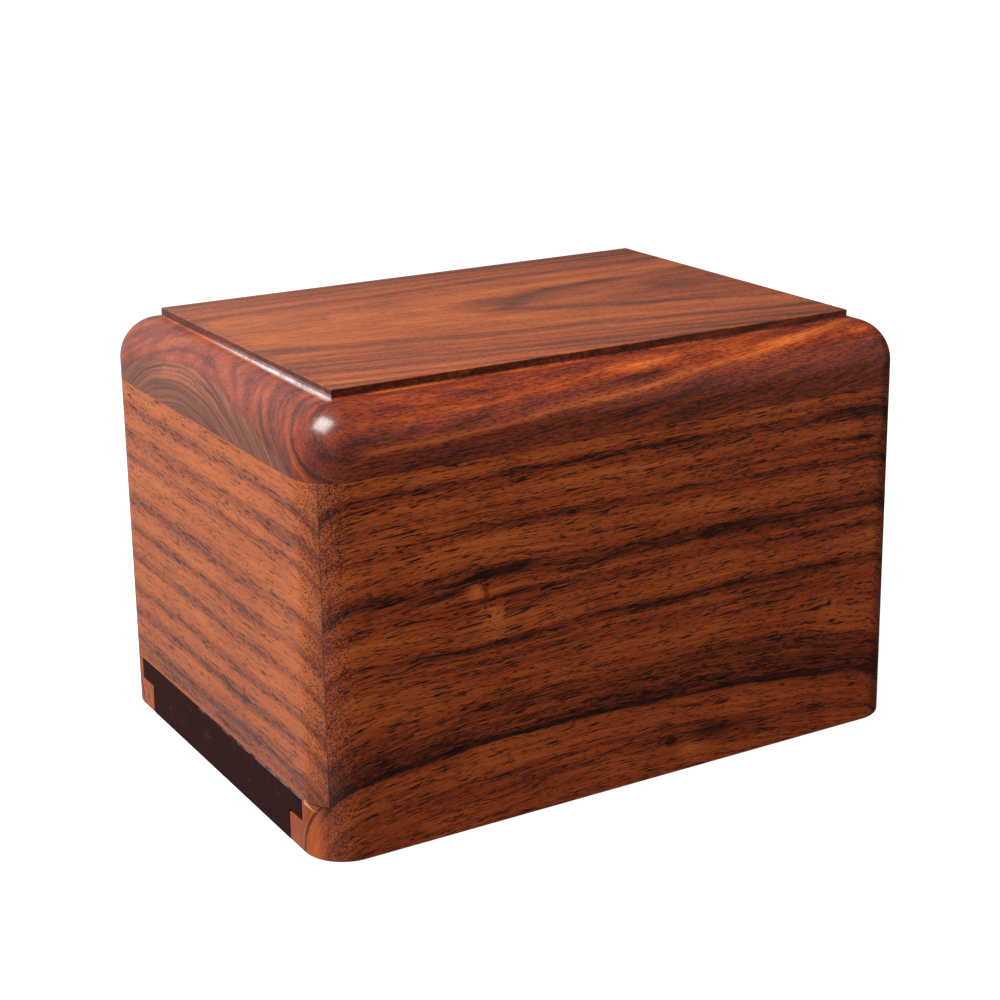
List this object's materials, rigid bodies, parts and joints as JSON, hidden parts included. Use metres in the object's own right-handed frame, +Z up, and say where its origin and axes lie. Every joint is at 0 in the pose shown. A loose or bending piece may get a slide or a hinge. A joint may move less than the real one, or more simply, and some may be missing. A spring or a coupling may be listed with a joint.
{
  "type": "wooden cremation urn",
  "caption": "Rectangular wooden urn with rounded corners, a raised-field lid glued on mitred boards, and a dark bottom panel that slides out of one end to open the hollow box.",
  "frame": {"origin": "middle of the underside, on the surface that the urn stands on", "axes": "+X along the long front towards the closed end, +Y from the front to the back, +Z up; the panel slides out towards -X"},
  "size_m": [0.26, 0.19, 0.1685],
  "materials": {
    "lid_rosewood": "satin-gloss lacquered rosewood, long grain along the length",
    "wall_rosewood": "satin-gloss lacquered rosewood with dark streaks and open pores",
    "dark_stained_wood": "dark chocolate stain, satin"
  },
  "bodies": {
    "case": {"lid": "lid_rosewood", "front_wall": "wall_rosewood", "back_wall": "wall_rosewood", "left_wall": "wall_rosewood", "right_wall": "wall_rosewood"},
    "panel": {"bottom_panel": "dark_stained_wood"}
  },
  "joints": [
    {"name": "bottom_slide", "type": "slide", "parent": "case", "child": "panel", "axis": [-1, 0, 0], "range_m": [0, 0.215]}
  ]
}
